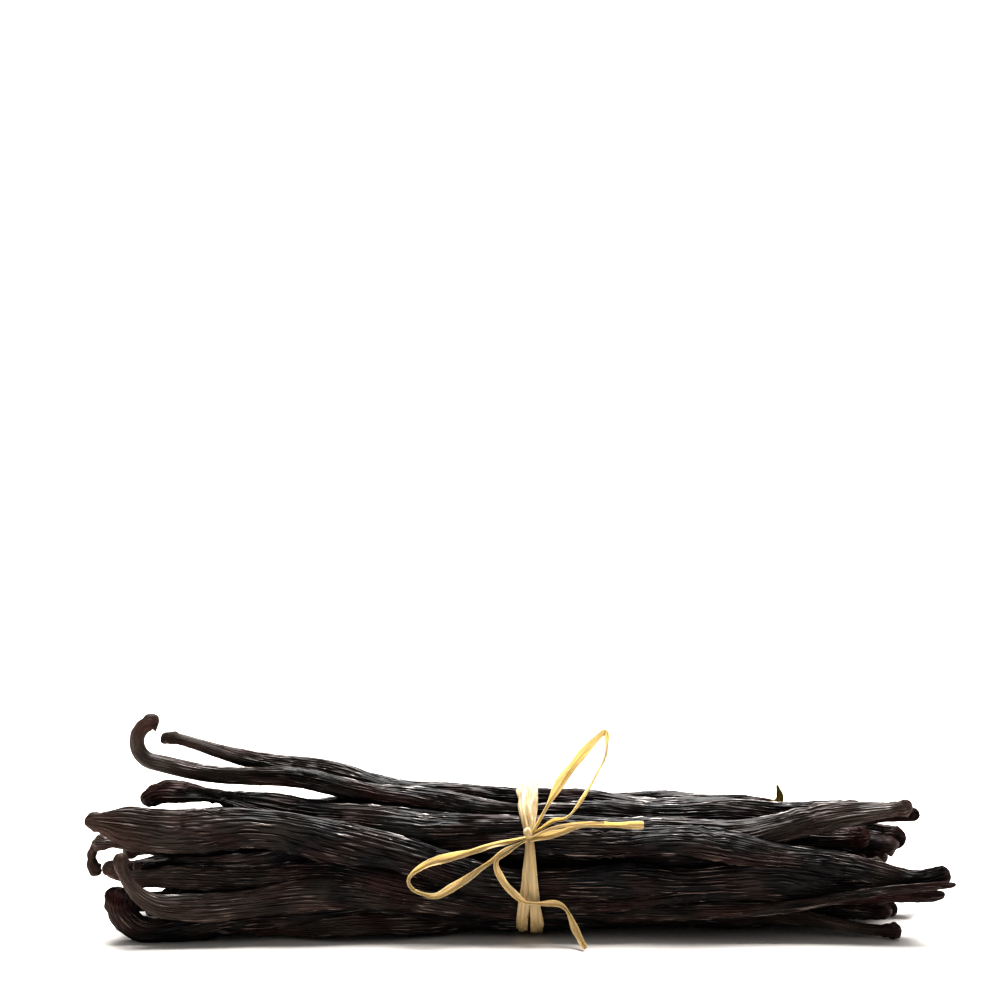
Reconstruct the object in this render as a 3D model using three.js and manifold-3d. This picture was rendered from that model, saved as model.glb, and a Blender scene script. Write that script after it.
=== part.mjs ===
// A bundle of cured vanilla pods lying on its side, tied round the waist with one strand of raffia.
// Millimetres, +Z up. The pods run along X. The origin is on the floor, under the middle of the whole.
import * as THREE from "three";
import { mergeVertices } from "three/addons/utils/BufferGeometryUtils.js";
import Module from "manifold-3d";

const wasm = await Module();
wasm.setup();
const { Vector3 } = THREE;

// The waist, where the tie squeezes the pods into an oval that is flatter below, where it rests
const TIE_X = 2;
const WAIST = { halfDepth: 18.2, halfHeight: 14.7, lift: 0.9, flatPower: 0.55 };
const WAIST_Z = WAIST.lift + WAIST.halfHeight;
const RINGS = [
  { count: 17, halfDepth: 15.4, halfHeight: 12, first: 90 },
  { count: 10, halfDepth: 9.4, halfHeight: 6.8, first: 90 },
  { count: 3, halfDepth: 3.2, halfHeight: 2.2, first: 60 },
];
// The pods' centre line behind the origin, because the raffia's lower tail reaches out in front
const BUNDLE_Y = 3.1;

// One pod
const POD = { width: 8.2, thickness: 5.2 };
const STEM = { radius: 1.25, knob: 0.5, knobAt: 1.9, knobLength: 1.5, swellsOver: [2, 22] };
const TIP = { roundOver: 3, share: 0.56, tapersOver: 30 };
const SQUEEZE = { share: 0.3, reach: 20 };
const WAVE = { size: 0.6, length: 46, starts: [6, 34] };
const SWELL = { share: 0.07, length: 31 };
const TWIST_REACH = 70;
const LEAVE = 0.35;
const SIDES = { shown: 8, inner: 6 };
const SIDE_STEPS = 36;
const HOOK_STEPS = 12;
const END_STATIONS = [0, 1.4, 3.6, 9, 22];
const HOOK_STATIONS = [0, 1.4, 3.4, 6.5, 10, 14, 19, 28];
const MIDDLE_STATIONS = { shown: 5, inner: 3 };

// The core that the pods lie round
const CORE = { halfLength: 66, halfDepth: 12.5, halfHeight: 9.5, sides: 12, steps: 10 };

// Facets thinner than this are merged away where the pods join
const SLIVER = 0.06;

// Raffia
const RAFFIA = { width: 2.1, thickness: 0.5, gap: 0.35 };
const WRAP = { width: 2.5, knotWidth: 1.6, spreadAbove: 1.1, knotSpread: 0.5, spreadBelow: 1.6, steps: 40 };
const KNOT = { angle: 30, halfLength: 2.2, halfHeight: 1.9, halfDepth: 1.5 };

// The pods that show, each by its place in a ring at the waist and its two ends.
// bow lifts the middle of a side and lean moves it back. A hook turns an end up (+) or down (-) by its
// radius and degrees, and may go on straight. size is width by thickness, and stem: 1 puts the stem on the
// right. stemRadius and swells say how thick the stem is and over what length it swells into the body, tip
// and tapers how wide the blunt end stays and how far from it the body narrows. pinch is a narrow place, by its
// share of the length, its depth and its reach, and twist turns the section by degrees towards each end.
const SHOWN = [
  {
    at: [0, 0], left: [-76.4, 4, 40.3], right: [77, 8, 24], bow: [-1, -2], size: [7, 5],
    hookLeft: [1.8, -95], stemRadius: 1.15, knob: 0.2, swells: [3, 40], twist: [20, 20],
  },
  {
    at: [0, 1.3], left: [-80.5, 0, 35.6], right: [88.5, 3, 23.5], lean: [0, 1], bow: [1.7, -1],
    size: [6.4, 4], hookLeft: [4.5, 175], stemRadius: 1.75, knob: 0.1, swells: [6, 70], tip: 0.5,
    twist: [-40, 50],
  },
  {
    at: [0, 2.3], left: [-76, -5, 30.3], right: [85.5, -6, 27.6], bow: [-1.3, -3.4], size: [8, 5],
    hookLeft: [9, -45], stem: 1, stemRadius: 1.6, knob: 0.25, swells: [2, 26], tip: 0.56, tapers: 14,
    pinch: [0.1, 0.6, 9], twist: [0, -15],
  },
  {
    at: [0, 3], left: [-92.6, -9, 20.5], right: [81, -14, 13.8], lean: [7, 0], bow: [-2.5, 2.2],
    size: [7, 5], hookRight: [16, 40], stemRadius: 0.95, knob: 0.75, swells: [7, 30], tip: 0.68, tapers: 48,
    twist: [0, -30],
  },
  {
    at: [0, 4.5], left: [-92.6, -13, 25], right: [87, -12, 11.5], bow: [5.2, 0], size: [8.6, 5.2],
    hookLeft: [3, 15], stemRadius: 1.4, knob: 0.3, swells: [0.5, 10], tip: 0.5, twist: [-10, 10],
  },
  {
    at: [0, 5.3], left: [-81, -15, 13.4], right: [92, -10, 9.2], bow: [3, 0.5], size: [6, 4.8],
    hookLeft: [10, 50], swells: [2, 28], tip: 0.4, tapers: 42, twist: [-20, 0],
  },
  {
    at: [0, 6], left: [-73.8, -20, 8.2], right: [92.5, -19, 13.2], bow: [3, -2.5], size: [6, 4.4],
    hookLeft: [11.3, 90], wave: 0.2, swells: [2, 30], tip: 0.28, tapers: 110, twist: [-60, 0],
  },
  {
    at: [0, 7], left: [-77.8, -15.5, 2.8], right: [82, -14, 2.2], lean: [0, 5], bow: [2.5, 1], size: [8, 6],
    hookLeft: [7.2, 112], stem: 1, swells: [4, 60], tip: 0.9,
  },
  { at: [0, 8], left: [-58, -14, 2.7], right: [81, -6, 5], lean: [-3.5, -2], size: [8, 5.2], tip: 0.7 },
  { at: [0, 9], left: [-89, -3, 6], right: [73, 3, 2.4] },
  { at: [0, 10], left: [-84, 9, 2], right: [85, 9, 1.8] },
  { at: [0, 11], left: [-88, 15, 7], right: [91, 12, 5.5], stem: 1 },
  { at: [0, 12], left: [-85, 13, 9], right: [81, 14, 9.5], hookLeft: [7, 60] },
  { at: [0, 13], left: [-83, 15, 13.5], right: [86.5, 8, 18] },
  { at: [0, 14], left: [-89, 10, 17], right: [80, 12, 15.5] },
  {
    at: [0, 15], left: [-80, 12, 17], right: [57, 13, 23.8], hookRight: [1.8, 100, 2.6], tip: 0.18,
    tapers: 14,
  },
  { at: [0, 16], left: [-86, 4, 20], right: [82, 6, 14] },
  {
    at: [1, 1], left: [-89.5, -4, 19], right: [77, -2, 20], hookLeft: [4, -150], size: [6.5, 4.6],
    stemRadius: 1, swells: [3, 26], tip: 0.85,
  },
];
// Where the inner pods, which only show at their ends, come out
const INNER = {
  leftX: -70, rightX: 71, stagger: 20, leftSpread: 1.35, rightSpread: 1.1, leftDrop: 0.72, rightDrop: 0.82,
};

// The raffia bow, from the knot outwards, by the points that each strand passes
const BOW = {
  left_loop: [
    [-0.5, -18, 22.6], [-9.5, -19, 20.4], [-18.5, -19.6, 17.8], [-22.6, -20, 15.8], [-23.7, -20, 13.8],
    [-22.2, -20, 11.8], [-18.6, -20, 10.7], [-15.4, -20, 11.9], [-6.5, -19.6, 18], [0.5, -18, 22],
  ],
  upper_loop: [
    [2.4, -17, 23.4], [8, -16, 33.4], [13.2, -15, 40.4], [18.1, -14, 45], [18.3, -14.2, 40],
    [15.7, -14.8, 34.5],
    [12.2, -15.3, 29], [9.6, -15.7, 26.5], [6.8, -16, 26], [2.2, -17, 23],
  ],
  right_tail: [[2, -17.4, 22.4], [8.4, -16.8, 23.8], [14, -16.2, 25.2], [26.4, -15.4, 25]],
  lower_tail: [
    [0.6, -18, 22], [-4.8, -19.8, 18.4], [-3.8, -20, 14], [-1, -20, 10.9], [1.7, -20, 9.4], [8.6, -19.7, 8.7],
    [11.8, -21.6, 3.8], [13.6, -24.4, 0.6],
  ],
};
const BOW_STEPS = 26;

const lerp = (a, b, t) => a + (b - a) * t;
const smooth = (from, to, x) => {
  const t = Math.min(Math.max((x - from) / (to - from), 0), 1);
  return t * t * (3 - 2 * t);
};
// A phase for each pod, spread evenly by the golden ratio
const phaseOf = (index) => 2 * Math.PI * ((index * 0.618034) % 1);

// A closed geometry as a solid that can be joined and cut
function solidOf(geometry) {
  geometry.deleteAttribute("normal");
  geometry.deleteAttribute("uv");
  const merged = mergeVertices(geometry, 1e-4);
  return new wasm.Manifold(
    new wasm.Mesh({
      numProp: 3,
      vertProperties: new Float32Array(merged.attributes.position.array),
      triVerts: new Uint32Array(merged.index.array),
    }),
  );
}

// The joined solids as one outer surface, with the hollows sealed inside filled
function fused(solids) {
  const joined = solids.reduce((all, next) => all.add(next));
  const shells = joined.decompose().filter((shell) => shell.volume() > 0);
  return shells.reduce((most, shell) => (shell.volume() > most.volume() ? shell : most));
}

function meshOf(name, solid, material) {
  const { vertProperties, triVerts, numProp } = solid.getMesh();
  const geometry = new THREE.BufferGeometry();
  const positions = new Float32Array((vertProperties.length / numProp) * 3);
  for (let i = 0; i < positions.length / 3; i++) {
    positions.set(vertProperties.subarray(i * numProp, i * numProp + 3), i * 3);
  }
  geometry.setAttribute("position", new THREE.BufferAttribute(positions, 3));
  geometry.setIndex(new THREE.BufferAttribute(new Uint32Array(triVerts), 1));
  geometry.computeVertexNormals();
  const mesh = new THREE.Mesh(geometry, material);
  mesh.name = name;
  return mesh;
}

// Moves every vertex of a geometry to place(x, y, z)
function shaped(geometry, place) {
  const position = geometry.getAttribute("position");
  for (let i = 0; i < position.count; i++) {
    const p = place(position.getX(i), position.getY(i), position.getZ(i));
    position.setXYZ(i, p.x, p.y, p.z);
  }
  return geometry;
}

// A point of the waist's section, for an oval of any size about its centre: 0 degrees is the front
function onOval(degrees, halfDepth, halfHeight) {
  const angle = THREE.MathUtils.degToRad(degrees);
  const [c, s] = [Math.cos(angle), Math.sin(angle)];
  const power = s < 0 ? WAIST.flatPower : 1;
  const bent = (value) => Math.sign(value) * Math.abs(value) ** power;
  return new Vector3(TIE_X, -halfDepth * bent(c), WAIST_Z + halfHeight * bent(s));
}

// A pod's place at the waist: its centre, and the direction along the oval that its flat side follows
function slotOf([ring, index]) {
  const { count, halfDepth, halfHeight, first } = RINGS[ring];
  const degrees = first - (360 * index) / count;
  const before = onOval(degrees - 8, halfDepth, halfHeight);
  const after = onOval(degrees + 8, halfDepth, halfHeight);
  return { centre: onOval(degrees, halfDepth, halfHeight), wide: after.sub(before).normalize() };
}

// One side of a pod's centre line, from the waist to an end: first along X, then straight, with a slow wave
function sideLine(start, end, lean, bow, waveSize, phase) {
  const line = [];
  for (let i = 0; i <= SIDE_STEPS; i++) {
    const s = i / SIDE_STEPS;
    const away = (s * s * (1 + LEAVE)) / (s + LEAVE);
    const run = Math.abs(end.x - start.x) * s;
    const wave = waveSize * smooth(...WAVE.starts, run);
    const turn = (2 * Math.PI * run) / WAVE.length + phase;
    const mid = Math.sin(Math.PI * s) ** 2;
    line.push(
      new Vector3(
        lerp(start.x, end.x, s),
        lerp(start.y, end.y, away) + lean * mid + wave * Math.sin(turn),
        lerp(start.z, end.z, away) + bow * mid + wave * Math.sin(1.3 * turn),
      ),
    );
  }
  return line;
}

// An arc that carries a line's end on, up or down, and then a straight piece if it has one
function hookOn(line, [radius, turn, straight]) {
  const end = line[line.length - 1];
  const ahead = end.clone().sub(line[line.length - 2]).normalize();
  const side = new Vector3(0, 0, Math.sign(turn));
  side.addScaledVector(ahead, -side.dot(ahead)).normalize();
  for (let i = 1; i <= HOOK_STEPS; i++) {
    const a = (THREE.MathUtils.degToRad(Math.abs(turn)) * i) / HOOK_STEPS;
    line.push(
      end
        .clone()
        .addScaledVector(ahead, radius * Math.sin(a))
        .addScaledVector(side, radius * (1 - Math.cos(a))),
    );
  }
  if (!straight) return;
  const [before, last] = line.slice(-2);
  const onward = last.clone().sub(before).normalize();
  for (const share of [0.5, 1]) {
    line.push(last.clone().addScaledVector(onward, share * straight));
  }
}

// A line's distances from its start, and its point and frame at any distance.
// The frame's wide direction is carried along from one place on the line without twist.
function framed(line, wideAt, wide) {
  const along = [0];
  for (let i = 1; i < line.length; i++) along.push(along[i - 1] + line[i].distanceTo(line[i - 1]));
  const ahead = line.map((_, i) =>
    line[Math.min(i + 1, line.length - 1)].clone().sub(line[Math.max(i - 1, 0)]).normalize(),
  );
  const across = [];
  const carry = (from, i) => from.clone().addScaledVector(ahead[i], -from.dot(ahead[i])).normalize();
  across[wideAt] = carry(wide, wideAt);
  for (let i = wideAt + 1; i < line.length; i++) across[i] = carry(across[i - 1], i);
  for (let i = wideAt - 1; i >= 0; i--) across[i] = carry(across[i + 1], i);
  const at = (distance) => {
    let i = along.findIndex((d) => d >= distance);
    i = i < 1 ? (i < 0 ? line.length - 1 : 1) : i;
    const t = (distance - along[i - 1]) / (along[i] - along[i - 1]);
    const tangent = ahead[i - 1].clone().lerp(ahead[i], t).normalize();
    const u = across[i - 1].clone().lerp(across[i], t);
    u.addScaledVector(tangent, -u.dot(tangent)).normalize();
    return { point: line[i - 1].clone().lerp(line[i], t), u, v: tangent.clone().cross(u) };
  };
  return { length: along[along.length - 1], at, tieAt: along[wideAt] };
}

// A pod: a flattened rod with a thin stem that ends in a knob, and a blunt tip
function podSolid(pod, index) {
  const phase = phaseOf(index);
  const { centre, wide } = slotOf(pod.at);
  const [bowLeft, bowRight] = pod.bow ?? [0, 0];
  const [leanLeft, leanRight] = pod.lean ?? [0, 0];
  const wave = pod.wave ?? WAVE.size;
  const left = sideLine(centre, new Vector3(...pod.left), leanLeft, bowLeft, wave, phase);
  const right = sideLine(centre, new Vector3(...pod.right), leanRight, bowRight, wave, phase + 1);
  if (pod.hookLeft) hookOn(left, pod.hookLeft);
  if (pod.hookRight) hookOn(right, pod.hookRight);
  const line = [...left.reverse(), ...right.slice(1)];
  const path = framed(line, left.length - 1, wide);

  const startStations = pod.hookLeft ? HOOK_STATIONS : END_STATIONS;
  const endStations = pod.hookRight ? HOOK_STATIONS : END_STATIONS;
  const from = startStations[startStations.length - 1];
  const to = path.length - endStations[endStations.length - 1];
  const kind = pod.inner ? "inner" : "shown";
  const count = MIDDLE_STATIONS[kind];
  const middle = [...Array(count)].map((_, i) => lerp(from, to, (i + 1) / (count + 1)));
  const stations = [...startStations, ...middle, ...endStations.map((d) => path.length - d).reverse()];

  const [pinchAt, pinchShare, pinchReach] = pod.pinch ?? [0, 0, 1];
  const [width, thickness] = pod.size ?? [POD.width, POD.thickness];
  const half = (size, distance) => {
    const fromStem = pod.stem ? path.length - distance : distance;
    const fromTip = path.length - fromStem;
    const swelling = smooth(...(pod.swells ?? STEM.swellsOver), fromStem);
    const body = lerp(pod.stemRadius ?? STEM.radius, size / 2, swelling);
    const rounding = Math.sqrt(1 - 0.96 * (1 - Math.min(fromTip / TIP.roundOver, 1)) ** 2);
    const widening = smooth(0, pod.tapers ?? TIP.tapersOver, fromTip);
    const taper = rounding * lerp(pod.tip ?? TIP.share, 1, widening);
    const swell = 1 + SWELL.share * Math.sin((2 * Math.PI * distance) / SWELL.length + phase);
    const pinch = 1 - pinchShare * Math.exp(-(((distance - pinchAt * path.length) / pinchReach) ** 2));
    const knob = (pod.knob ?? STEM.knob) * Math.exp(-(((fromStem - STEM.knobAt) / STEM.knobLength) ** 2));
    return body * taper * swell * pinch + knob;
  };
  const [twistLeft, twistRight] = pod.twist ?? [0, 0];
  const twist = (distance) =>
    THREE.MathUtils.degToRad(distance < path.tieAt ? twistLeft : twistRight) *
    smooth(0, TWIST_REACH, Math.abs(distance - path.tieAt));
  const squeeze = (distance) =>
    1 - SQUEEZE.share * Math.exp(-(((distance - path.tieAt) / SQUEEZE.reach) ** 2));

  const rod = new THREE.CylinderGeometry(1, 1, stations.length - 1, SIDES[kind], stations.length - 1);
  const middleY = (stations.length - 1) / 2;
  return solidOf(
    shaped(rod, (x, y, z) => {
      const distance = stations[Math.round(y + middleY)];
      const { point, u, v } = path.at(distance);
      const [c, s] = [Math.cos(twist(distance)), Math.sin(twist(distance))];
      const wideHalf = z * half(width, distance) * squeeze(distance);
      const thinHalf = x * half(thickness, distance);
      point.addScaledVector(u, c * wideHalf - s * thinHalf);
      return point.addScaledVector(v, s * wideHalf + c * thinHalf);
    }),
  );
}

// The inner pods come out of the ends by a rule: spread from their places at the waist, and staggered
function innerPods() {
  const taken = SHOWN.map((pod) => pod.at.join());
  const pods = [];
  RINGS.forEach(({ count }, ring) => {
    for (let index = 0; index < count; index++) {
      if (ring === 0 || taken.includes([ring, index].join())) continue;
      const { centre } = slotOf([ring, index]);
      const stagger = INNER.stagger * ((index * 0.618034 + ring * 0.37) % 1);
      pods.push({
        at: [ring, index],
        left: [INNER.leftX - stagger, centre.y * INNER.leftSpread, centre.z * INNER.leftDrop],
        right: [
          INNER.rightX + INNER.stagger - stagger,
          centre.y * INNER.rightSpread,
          centre.z * INNER.rightDrop,
        ],
        stem: index % 3 === 2 ? 1 : 0,
        inner: true,
      });
    }
  });
  return pods;
}

function coreSolid() {
  const egg = new THREE.SphereGeometry(1, CORE.sides, CORE.steps);
  return solidOf(
    shaped(
      egg,
      (x, y, z) =>
        new Vector3(
          TIE_X + y * CORE.halfLength,
          -x * CORE.halfDepth,
          WAIST_Z + z * CORE.halfHeight,
        ),
    ),
  );
}

// The space below the floor, which cuts flat what rests on it
function belowFloor() {
  const size = { x: 300, y: 120, z: 20 };
  return solidOf(new THREE.BoxGeometry(size.x, size.y, size.z).translate(0, 0, -size.z / 2));
}

// One turn of raffia round the waist: a flat ring that follows the oval, to one side of the tie's middle
function wrapSolid(side) {
  const profile = [
    [0, -0.5], [1, -0.5], [1, 0.5], [0, 0.5], [0, -0.5],
  ].map(([out, y]) => new THREE.Vector2(1 + out, y));
  const ring = new THREE.LatheGeometry(profile, WRAP.steps);
  return solidOf(
    shaped(ring, (x, y, z) => {
      const degrees = THREE.MathUtils.radToDeg(Math.atan2(z, x));
      const atKnot = Math.exp(-(((degrees - KNOT.angle) / 30) ** 2));
      const upper = 0.5 + 0.5 * Math.sin(THREE.MathUtils.degToRad(degrees));
      const spread = lerp(lerp(WRAP.spreadBelow, WRAP.spreadAbove, upper), WRAP.knotSpread, atKnot);
      const out = RAFFIA.gap + (Math.hypot(x, z) - 1) * RAFFIA.thickness;
      const point = onOval(degrees, WAIST.halfDepth + out, WAIST.halfHeight + out);
      point.x += side * spread + y * lerp(WRAP.width, WRAP.knotWidth, atKnot);
      return point;
    }),
  );
}

function knotSolid() {
  const out = RAFFIA.gap + KNOT.halfDepth;
  const centre = onOval(KNOT.angle, WAIST.halfDepth + out, WAIST.halfHeight + out);
  const lump = new THREE.SphereGeometry(1, 10, 8);
  lump.scale(KNOT.halfLength, KNOT.halfDepth, KNOT.halfHeight);
  return solidOf(lump.translate(...centre));
}

// A strand of the bow: a flat strip along a smooth curve, its flat side to the front
function strandSolid(points) {
  const curve = new THREE.CatmullRomCurve3(points.map((p) => new Vector3(...p)), false, "centripetal");
  const line = curve.getSpacedPoints(BOW_STEPS * 3);
  const ahead = line[1].clone().sub(line[0]).normalize();
  const path = framed(line, 0, new Vector3(0, -1, 0).cross(ahead));
  const strip = new THREE.BoxGeometry(1, 1, BOW_STEPS, 1, 1, BOW_STEPS);
  return solidOf(
    shaped(strip, (x, y, z) => {
      const { point, u, v } = path.at((path.length * (z + BOW_STEPS / 2)) / BOW_STEPS);
      return point.addScaledVector(u, x * RAFFIA.width).addScaledVector(v, y * RAFFIA.thickness);
    }),
  );
}

const podSkin = new THREE.MeshStandardMaterial({ color: "#2b1d18", roughness: 0.5, metalness: 0 });
const raffiaStraw = new THREE.MeshStandardMaterial({ color: "#d9bd82", roughness: 0.6, metalness: 0 });

const pods = [...SHOWN, ...innerPods()].map(podSolid);
const strands = Object.values(BOW).map(strandSolid);
const finished = (solids) => fused([fused(solids).subtract(belowFloor()).simplify(SLIVER)]);
const bundle = finished([coreSolid(), ...pods]);
const raffia = finished([wrapSolid(-1), wrapSolid(1), knotSolid(), ...strands]);

const group = new THREE.Group();
group.add(meshOf("pod_bundle", bundle, podSkin), meshOf("raffia_tie", raffia, raffiaStraw));
group.position.y = BUNDLE_Y;

export default group;
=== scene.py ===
"""A bundle of cured vanilla pods, tied round the waist with a raffia bow, on a pale studio floor.

Lengths in the tables and formulas are millimetres. put_mesh turns them into Blender's metres, in one place.
"""

import bpy
import numpy as np
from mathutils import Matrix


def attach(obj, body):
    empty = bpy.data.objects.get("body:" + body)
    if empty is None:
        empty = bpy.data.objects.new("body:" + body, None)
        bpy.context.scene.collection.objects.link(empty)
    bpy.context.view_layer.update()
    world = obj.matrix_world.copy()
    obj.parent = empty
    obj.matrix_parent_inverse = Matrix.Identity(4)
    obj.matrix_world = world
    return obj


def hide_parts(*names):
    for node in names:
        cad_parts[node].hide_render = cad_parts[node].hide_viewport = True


bl_info = {
    "name": "Vanilla pod bundle",
    "version": (1, 0, 0),
    "blender": (4, 5, 0),
    "location": "3D View > Sidebar > Vanilla",
    "description": "Builds a tied bundle of cured vanilla pods and its studio",
    "category": "Add Mesh",
}

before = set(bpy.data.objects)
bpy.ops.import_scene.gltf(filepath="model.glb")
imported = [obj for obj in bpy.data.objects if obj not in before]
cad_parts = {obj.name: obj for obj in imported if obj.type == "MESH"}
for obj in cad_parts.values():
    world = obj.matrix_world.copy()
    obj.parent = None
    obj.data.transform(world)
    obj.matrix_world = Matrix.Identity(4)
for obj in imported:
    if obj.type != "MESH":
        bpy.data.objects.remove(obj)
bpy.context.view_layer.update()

MM = 0.001
TURN = 2 * np.pi

# The bundle, as in the solids: where it lies, the oval that the tie makes of it, and the places in the oval
BUNDLE_Y = 3.1
TIE_X = 2.0
WAIST_HALF_DEPTH = 18.2
WAIST_HALF_HEIGHT = 14.7
WAIST_Z = 0.9 + WAIST_HALF_HEIGHT
FLAT_POWER = 0.55
RINGS = ((17, 15.4, 12.0, 90.0), (10, 9.4, 6.8, 90.0), (3, 3.2, 2.2, 60.0))
LEAVE = 0.35

# The pods that show, each by its place at the waist, its left and right end, and how it differs from a plain
# pod. bow lifts the middle of a side and lean moves it back. A hook turns an end up (+) or down (-) by its
# radius and degrees, and may go on straight. size is width by thickness, and stem=1 puts the stem right.
# stem_radius and swells say how thick the stem is and over what length it grows, tip and tapers how wide the
# blunt end stays and where the body starts to narrow. creases and pinches are at shares of the length, and a
# pinch has its depth and reach. twist turns the section towards an end. dry and olive are shares of a colour.
SHOWN = (
    dict(at=(0, 0), left=(-76.4, 4, 40.3), right=(77, 8, 24), bow=(-1, -2), size=(7, 5), hook_left=(1.8, -95),
         stem_radius=1.15, knob=0.2, swells=(3, 40), twist=(20, 20)),
    dict(at=(0, 1.3), left=(-80.5, 0, 35.6), right=(88.5, 3, 23.5), lean=(0, 1), bow=(1.7, -1), size=(6.4, 4),
         hook_left=(4.5, 175), stem_radius=1.75, knob=0.1, swells=(6, 70), tip=0.5, twist=(-40, 50)),
    dict(at=(0, 2.3), left=(-76, -5, 30.3), right=(85.5, -6, 27.6), bow=(-1.3, -3.4), size=(8, 5),
         hook_left=(9, -45), stem=1, stem_radius=1.6, knob=0.25, swells=(2, 26), tip=0.56, tapers=14,
         creases=(0.11, 0.86), pinches=((0.1, 0.6, 9),), twist=(0, -15)),
    dict(at=(0, 3), left=(-92.6, -9, 20.5), right=(81, -14, 13.8), lean=(7, 0), bow=(-2.5, 2.2), size=(7, 5),
         hook_right=(16, 40), stem_radius=0.95, knob=0.75, swells=(7, 30), tip=0.68, tapers=48,
         creases=(0.6, 0.72), twist=(0, -30)),
    dict(at=(0, 4.5), left=(-92.6, -13, 25), right=(87, -12, 11.5), bow=(5.2, 0), size=(8.6, 5.2),
         hook_left=(3, 15), stem_radius=1.4, knob=0.3, swells=(0.5, 10), tip=0.5, creases=(0.16,),
         twist=(-10, 10)),
    dict(at=(0, 5.3), left=(-81, -15, 13.4), right=(92, -10, 9.2), bow=(3, 0.5), size=(6, 4.8),
         hook_left=(10, 50), swells=(2, 28), tip=0.4, tapers=42, creases=(0.4,), twist=(-20, 0)),
    # dry=0.3 paints this pod lighter grey brown all along: partly a drier skin, partly painted light on a pod
    # that lies in shade
    dict(at=(0, 6), left=(-73.8, -20, 8.2), right=(92.5, -19, 13.2), bow=(3, -2.5), size=(6, 4.4),
         hook_left=(11.3, 90), wave=0.2, swells=(2, 30), tip=0.28, tapers=110, twist=(-60, 0), dry=0.3),
    dict(at=(0, 7), left=(-77.8, -15.5, 2.8), right=(82, -14, 2.2), lean=(0, 5), bow=(2.5, 1), size=(8, 6),
         hook_left=(7.2, 112), stem=1, swells=(4, 60), tip=0.9, twist=(0, 0)),
    dict(at=(0, 8), left=(-58, -14, 2.7), right=(81, -6, 5), lean=(-3.5, -2), size=(8, 5.2), tip=0.7),
    dict(at=(0, 9), left=(-89, -3, 6), right=(73, 3, 2.4)),
    dict(at=(0, 10), left=(-84, 9, 2), right=(85, 9, 1.8)),
    dict(at=(0, 11), left=(-88, 15, 7), right=(91, 12, 5.5), stem=1),
    dict(at=(0, 12), left=(-85, 13, 9), right=(81, 14, 9.5), hook_left=(7, 60)),
    dict(at=(0, 13), left=(-83, 15, 13.5), right=(86.5, 8, 18)),
    dict(at=(0, 14), left=(-89, 10, 17), right=(80, 12, 15.5)),
    dict(at=(0, 15), left=(-80, 12, 17), right=(57, 13, 23.8), hook_right=(1.8, 100, 2.6), tip=0.18,
         tapers=14, olive=1),
    dict(at=(0, 16), left=(-86, 4, 20), right=(82, 6, 14)),
    dict(at=(1, 1), left=(-89.5, -4, 19), right=(77, -2, 20), hook_left=(4, -150), size=(6.5, 4.6),
         stem_radius=1.0, swells=(3, 26), tip=0.85),
)
# Where the inner pods, which only show at their ends, come out
INNER = dict(left_x=-70, right_x=71, stagger=20, ring_shift=0.37, left_spread=1.35, right_spread=1.1,
             left_drop=0.72, right_drop=0.82)

# One pod: its stem, its blunt tip, and how its section changes along it
POD_SIZE = (8.2, 5.2)
STEM_RADIUS, STEM_ROUNDS, STEM_SWELLS = 1.25, 1.5, (2, 22)
KNOB, KNOB_AT, KNOB_LENGTH = 0.5, 1.9, 1.5
TIP_ROUNDS, TIP_SHARE, TIP_TAPERS = 3.0, 0.56, 30
SQUEEZE_SHARE, SQUEEZE_REACH = 0.3, 20
WAVE_SIZE, WAVE_LENGTH, WAVE_STARTS = 0.6, 46, (6, 34)
SWELL_SHARE, SWELL_LENGTH = 0.07, 31
MOST_TWIST, TWIST_REACH = 25.0, 70
GOLDEN = 0.618034

# Its wrinkles, round it and along it. A pattern is its most waves round the pod and the length of its waves
FOLDS, RIDGES = 21, 35
MEAN_SINE = 0.64
WANDER, FINE_WANDER, RIDGE_WANDER = (1, 80), (2, 18), (3, 10)
FADING, BREAKING, HOLLOWS = (2, 24), (5, 8), (3, 50)
FACET_WANDER, FINE_FACET_WANDER = (0, 90), (0, 60)
CREASE_DEPTH, CREASE_HALF, CREASE_SWING = 0.4, 0.7, 0.9
CRUMPLE_HEIGHT, CRUMPLES, CRUMPLE_REACH = 0.22, (6, 3), 4.5
LUMP_HEIGHT, LUMPS, LUMP_RIDGES, LUMP_REACH = 0.24, (3, 2.6), 0.2, 4.5

# Its colours: how far they reach from an end, and the patterns that break them
RED_REACH, RED_PATCHES = 9, (2, 30)
DRY_REACH, DRY_PATCHES = 30, (2, 20)
OLIVE_FADES = (8, 3)
SKINS_APART, FIBRES_APART = 300, 60

# The least height of a pod and of a ribbon above the floor
POD_FLOOR, RIBBON_FLOOR = 0.02, 0.03

# Rings and columns of a pod's grid, and how much the rings crowd towards its ends
SHOWN_GRID = (230, 168)
INNER_GRID = (140, 64)
END_CROWDING = 0.6

# Where each kind of piece starts its random numbers
POD_SEED, BAND_SEED, BOW_SEED, KNOT_SEED = 100, 40, 50, 60

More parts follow.
